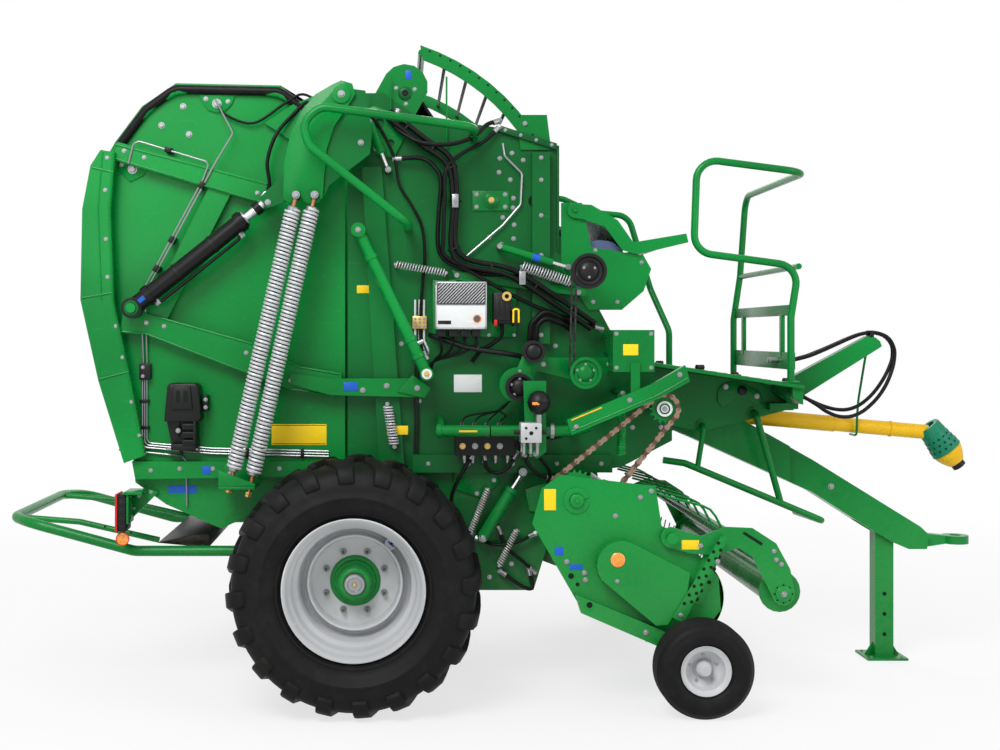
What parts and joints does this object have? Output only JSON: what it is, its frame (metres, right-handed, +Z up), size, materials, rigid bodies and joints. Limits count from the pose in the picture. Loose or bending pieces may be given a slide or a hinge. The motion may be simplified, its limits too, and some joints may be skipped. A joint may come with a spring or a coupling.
{
  "type": "round baler",
  "caption": "Towed variable chamber round baler with an opening tailgate, liftable tined pickup, gauge wheels, drive shaft, parking stand and a bale kicker.",
  "frame": {"origin": "middle of the overall length and width, on the ground", "axes": "+X forward to the hitch, +Y to the machine's left, +Z up"},
  "size_m": [4.6395, 2.55, 2.9168],
  "materials": {
    "green_paint": "gloss",
    "dark_green": "satin",
    "belt_rubber": "matte",
    "net_wrap": "satin",
    "worn_steel": "worn",
    "black_paint": "satin",
    "cast_alloy": "satin",
    "bright_steel": "satin",
    "lamp_red": "gloss",
    "black_plastic": "matte",
    "tyre_rubber": "matte",
    "silver_paint": "satin",
    "yellow_plastic": "satin"
  },
  "bodies": {
    "chassis": {"chamber_wall_right": "green_paint", "chamber_wall_left": "green_paint", "axle": "dark_green", "front_frame": "green_paint", "drawbar": "green_paint", "hitch_eye": "green_paint", "gearbox": "dark_green", "platform": "green_paint", "railing": "green_paint", "hand_rail_left": "green_paint", "side_rail": "green_paint", "belt_guard": "green_paint", "top_roller": "green_paint", "belts_front": "belt_rubber", "net_box": "green_paint", "net_roll": "net_wrap", "hose_arm": "green_paint", "step_rail": "green_paint", "chain_drive": "worn_steel", "net_drive": "black_paint", "drive_guard": "green_paint", "control_box": "cast_alloy", "valve_block": "black_paint", "hose_bundle": "belt_rubber", "tension_ram_right": "green_paint", "tension_ram_left": "green_paint", "front_hose_inner": "belt_rubber", "front_hose_outer": "belt_rubber"},
    "tailgate": {"tailgate_wall_right": "green_paint", "tailgate_wall_left": "green_paint", "tailgate_hull": "dark_green", "rear_cover": "green_paint", "belts_rear": "belt_rubber", "springs_right": "bright_steel", "springs_left": "bright_steel", "lamp_right": "lamp_red", "lamp_left": "lamp_red", "wheel_chock": "black_plastic"},
    "ram_right": {"ram_barrel_right": "black_paint"},
    "ram_left": {"ram_barrel_left": "black_paint"},
    "rod_right": {"ram_rod_right": "bright_steel"},
    "rod_left": {"ram_rod_left": "bright_steel"},
    "wheel_right": {"tyre_right": "tyre_rubber", "rim_right": "silver_paint"},
    "wheel_left": {"tyre_left": "tyre_rubber", "rim_left": "silver_paint"},
    "pickup": {"pickup_side_right": "green_paint", "pickup_side_left": "green_paint", "stripper_bands": "green_paint", "pickup_drive_cover": "green_paint"},
    "reel": {"pickup_reel": "worn_steel"},
    "gauge_right": {"gauge_wheel_right": "tyre_rubber"},
    "gauge_left": {"gauge_wheel_left": "tyre_rubber"},
    "wind_guard": {"wind_guard": "green_paint"},
    "crop_roller": {"crop_roller": "green_paint"},
    "rotor": {"feed_rotor": "dark_green"},
    "stand": {"stand": "green_paint"},
    "drive_shaft": {"drive_shaft": "yellow_plastic"},
    "net_lid": {"net_lid": "green_paint"},
    "kicker": {"bale_kicker": "green_paint"}
  },
  "joints": [
    {"name": "tailgate_open", "type": "hinge", "parent": "chassis", "child": "tailgate", "pos_m": [-0.765, 0, 2.66], "axis": [0, 1, 0], "range_deg": [0, 60]},
    {"name": "ram_turn_right", "type": "hinge", "parent": "tailgate", "child": "ram_right", "pos_m": [-1.7, -0.75, 1.72], "axis": [0, 1, 0], "range_deg": [0, 22]},
    {"name": "ram_stroke_right", "type": "slide", "parent": "ram_right", "child": "rod_right", "axis": [0.7816, 0, 0.6238], "range_m": [0, 0.43]},
    {"name": "ram_turn_left", "type": "hinge", "parent": "tailgate", "child": "ram_left", "pos_m": [-1.7, 0.75, 1.72], "axis": [0, 1, 0], "range_deg": [0, 22]},
    {"name": "ram_stroke_left", "type": "slide", "parent": "ram_left", "child": "rod_left", "axis": [0.7816, 0, 0.6238], "range_m": [0, 0.43]},
    {"name": "wheel_spin_right", "type": "hinge", "parent": "chassis", "child": "wheel_right", "pos_m": [-0.7, -1, 0.54], "axis": [0, 1, 0], "continuous": true},
    {"name": "wheel_spin_left", "type": "hinge", "parent": "chassis", "child": "wheel_left", "pos_m": [-0.7, 1, 0.54], "axis": [0, 1, 0], "continuous": true},
    {"name": "pickup_lift", "type": "hinge", "parent": "chassis", "child": "pickup", "pos_m": [0.25, 0, 0.89], "axis": [0, -1, 0], "range_deg": [0, 12]},
    {"name": "reel_spin", "type": "hinge", "parent": "pickup", "child": "reel", "pos_m": [0.72, 0, 0.45], "axis": [0, 1, 0], "continuous": true},
    {"name": "gauge_spin_right", "type": "hinge", "parent": "pickup", "child": "gauge_right", "pos_m": [0.763, -1.145, 0.205], "axis": [0, 1, 0], "continuous": true},
    {"name": "gauge_spin_left", "type": "hinge", "parent": "pickup", "child": "gauge_left", "pos_m": [0.763, 1.145, 0.205], "axis": [0, 1, 0], "continuous": true},
    {"name": "wind_guard_float", "type": "hinge", "parent": "pickup", "child": "wind_guard", "pos_m": [0.652, 0, 0.735], "axis": [0, -1, 0], "range_deg": [-12, 4]},
    {"name": "crop_roller_spin", "type": "hinge", "parent": "wind_guard", "child": "crop_roller", "pos_m": [1.131, 0, 0.494], "axis": [0, 1, 0], "continuous": true},
    {"name": "rotor_spin", "type": "hinge", "parent": "chassis", "child": "rotor", "pos_m": [0.09, 0, 0.66], "axis": [0, 1, 0], "continuous": true},
    {"name": "stand_swing", "type": "hinge", "parent": "chassis", "child": "stand", "pos_m": [1.89, 0, 0.61], "axis": [0, 1, 0], "range_deg": [0, 86]},
    {"name": "drive_shaft_tilt", "type": "hinge", "parent": "chassis", "child": "drive_shaft", "pos_m": [1.13, 0, 1.205], "axis": [0, -1, 0], "range_deg": [0, 12]},
    {"name": "net_lid_open", "type": "hinge", "parent": "chassis", "child": "net_lid", "pos_m": [0.285, 0, 2.165], "axis": [0, -1, 0], "range_deg": [0, 60]},
    {"name": "kicker_tilt", "type": "hinge", "parent": "chassis", "child": "kicker", "pos_m": [-1.2, 0, 0.614], "axis": [0, 1, 0], "range_deg": [-14, 0]}
  ],
  "couplings": [
    {"joint": "ram_turn_right", "follows": "tailgate_open", "ratio": 0.358},
    {"joint": "ram_stroke_right", "follows": "tailgate_open", "m_per_rad": 0.4},
    {"joint": "ram_turn_left", "follows": "tailgate_open", "ratio": 0.358},
    {"joint": "ram_stroke_left", "follows": "tailgate_open", "m_per_rad": 0.4}
  ]
}
